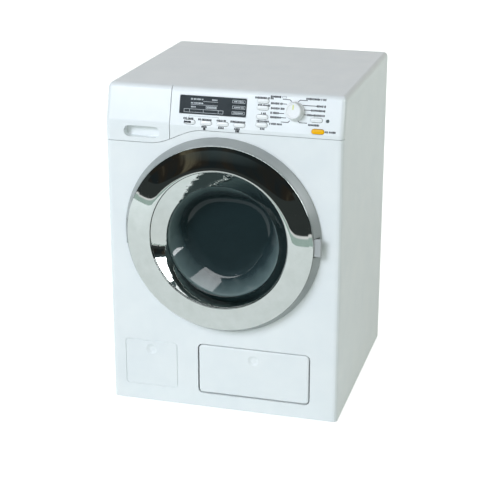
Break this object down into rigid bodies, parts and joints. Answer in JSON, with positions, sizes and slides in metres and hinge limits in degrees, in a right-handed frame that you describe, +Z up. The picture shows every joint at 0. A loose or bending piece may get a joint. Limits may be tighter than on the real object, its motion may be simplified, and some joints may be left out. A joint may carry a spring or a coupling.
{
  "type": "toy washing machine",
  "caption": "Child's toy front-loading washing machine with an opening porthole door, a turning drum, push buttons, a selector knob, a detergent drawer and a service flap.",
  "frame": {"origin": "middle of the footprint, on the surface the feet stand on", "axes": "+Z up, the door and controls face -Y, +X to the right as seen from the front"},
  "size_m": [0.185, 0.1934, 0.26],
  "materials": {
    "white_abs": "moulded, satin gloss",
    "light_grey_abs": "moulded, satin",
    "grey_abs": "moulded, satin",
    "dark_abs": "moulded, matte",
    "yellow_abs": "moulded, gloss",
    "silver_abs": "moulded, satin",
    "chrome_plating": "vacuum plated plastic, mirror bright",
    "smoked_acrylic": "clear smoked, polished",
    "display_acrylic": "dark printed window, polished",
    "natural_nylon": "moulded, waxy",
    "black_rubber": "matte",
    "board_laminate": "lacquered laminate",
    "plated_steel": "bright plated",
    "cell_sleeve": "printed sleeve over a metal can"
  },
  "bodies": {
    "cabinet": {"cabinet_shell": "white_abs", "front_panel": "white_abs", "control_fascia": "white_abs", "base_plate": "white_abs", "rear_cover": "white_abs", "battery_cover": "white_abs", "drawer_housing": "light_grey_abs", "flap_compartment": "light_grey_abs", "drum_tub": "light_grey_abs", "door_surround": "grey_abs", "battery_box": "dark_abs", "speaker": "dark_abs", "selector_switch": "dark_abs", "indicator_lamp": "dark_abs", "display_window": "display_acrylic", "front_bearing": "natural_nylon", "rear_bearing": "natural_nylon", "door_catch": "natural_nylon", "button_mat": "black_rubber", "drive_belt": "black_rubber", "wiring_loom": "black_rubber", "circuit_board": "board_laminate", "motor_bracket": "plated_steel", "drive_motor": "plated_steel", "door_hinge_pin": "plated_steel", "flap_hinge_pin_left": "plated_steel", "flap_hinge_pin_right": "plated_steel", "battery_cover_screw": "plated_steel", "rear_cover_screw_1": "plated_steel", "battery_cell_1": "cell_sleeve", "rear_cover_screw_2": "plated_steel", "battery_cell_2": "cell_sleeve", "rear_cover_screw_3": "plated_steel", "battery_cell_3": "cell_sleeve", "rear_cover_screw_4": "plated_steel", "battery_cell_4": "cell_sleeve"},
    "door": {"door_back_frame": "dark_abs", "door_chrome_ring": "chrome_plating", "door_inner_ring": "chrome_plating", "door_window": "smoked_acrylic", "door_pull_tab": "light_grey_abs"},
    "drum": {"drum": "silver_abs", "drum_shaft": "plated_steel", "drum_pulley": "natural_nylon", "shaft_clip": "plated_steel"},
    "motor_rotor": {"motor_pulley": "natural_nylon", "motor_shaft": "plated_steel"},
    "knob": {"selector_knob": "light_grey_abs"},
    "drawer": {"detergent_drawer": "white_abs"},
    "flap": {"service_flap": "white_abs"},
    "option_button_1": {"option_button_1": "white_abs"},
    "option_button_2": {"option_button_2": "white_abs"},
    "option_button_3": {"option_button_3": "white_abs"},
    "option_button_4": {"option_button_4": "white_abs"},
    "program_button_1": {"program_button_1": "white_abs"},
    "program_button_2": {"program_button_2": "white_abs"},
    "program_button_3": {"program_button_3": "white_abs"},
    "program_button_4": {"program_button_4": "white_abs"},
    "start_button": {"start_button": "white_abs"},
    "power_button": {"power_button": "yellow_abs"}
  },
  "joints": [
    {"name": "door_hinge", "type": "hinge", "parent": "cabinet", "child": "door", "pos_m": [-0.0739, -0.0908, 0.147], "axis": [0, 0, -1], "range_deg": [0, 120]},
    {"name": "drum_spin", "type": "hinge", "parent": "cabinet", "child": "drum", "pos_m": [0, 0.0117, 0.147], "axis": [0, 1, 0], "continuous": true},
    {"name": "motor_spin", "type": "hinge", "parent": "cabinet", "child": "motor_rotor", "pos_m": [0.038, 0.0292, 0.07], "axis": [0, 1, 0], "continuous": true},
    {"name": "knob_turn", "type": "hinge", "parent": "cabinet", "child": "knob", "pos_m": [0.0548, -0.07993, 0.24759], "axis": [0, -0.9619, 0.2733], "continuous": true},
    {"name": "drawer_slide", "type": "slide", "parent": "cabinet", "child": "drawer", "axis": [0, -1, 0], "range_m": [0, 0.05]},
    {"name": "flap_hinge", "type": "hinge", "parent": "cabinet", "child": "flap", "pos_m": [0.02485, -0.0823, 0.0157], "axis": [1, 0, 0], "range_deg": [0, 90]},
    {"name": "option_button_1_press", "type": "slide", "parent": "cabinet", "child": "option_button_1", "axis": [0, 0.9619, -0.2733], "range_m": [0, 0.001], "stiffness_N_per_m": 600, "springref_m": -0.0005},
    {"name": "option_button_2_press", "type": "slide", "parent": "cabinet", "child": "option_button_2", "axis": [0, 0.9619, -0.2733], "range_m": [0, 0.001], "stiffness_N_per_m": 600, "springref_m": -0.0005},
    {"name": "option_button_3_press", "type": "slide", "parent": "cabinet", "child": "option_button_3", "axis": [0, 0.9619, -0.2733], "range_m": [0, 0.001], "stiffness_N_per_m": 600, "springref_m": -0.0005},
    {"name": "option_button_4_press", "type": "slide", "parent": "cabinet", "child": "option_button_4", "axis": [0, 0.9619, -0.2733], "range_m": [0, 0.001], "stiffness_N_per_m": 600, "springref_m": -0.0005},
    {"name": "program_button_1_press", "type": "slide", "parent": "cabinet", "child": "program_button_1", "axis": [0, 0.9619, -0.2733], "range_m": [0, 0.001], "stiffness_N_per_m": 600, "springref_m": -0.0005},
    {"name": "program_button_2_press", "type": "slide", "parent": "cabinet", "child": "program_button_2", "axis": [0, 0.9619, -0.2733], "range_m": [0, 0.001], "stiffness_N_per_m": 600, "springref_m": -0.0005},
    {"name": "program_button_3_press", "type": "slide", "parent": "cabinet", "child": "program_button_3", "axis": [0, 0.9619, -0.2733], "range_m": [0, 0.001], "stiffness_N_per_m": 600, "springref_m": -0.0005},
    {"name": "program_button_4_press", "type": "slide", "parent": "cabinet", "child": "program_button_4", "axis": [0, 0.9619, -0.2733], "range_m": [0, 0.001], "stiffness_N_per_m": 600, "springref_m": -0.0005},
    {"name": "start_button_press", "type": "slide", "parent": "cabinet", "child": "start_button", "axis": [0, 0.9619, -0.2733], "range_m": [0, 0.001], "stiffness_N_per_m": 600, "springref_m": -0.0005},
    {"name": "power_button_press", "type": "slide", "parent": "cabinet", "child": "power_button", "axis": [0, 0.9619, -0.2733], "range_m": [0, 0.001], "stiffness_N_per_m": 600, "springref_m": -0.0005}
  ],
  "couplings": [
    {"joint": "motor_spin", "follows": "drum_spin", "ratio": 8}
  ]
}
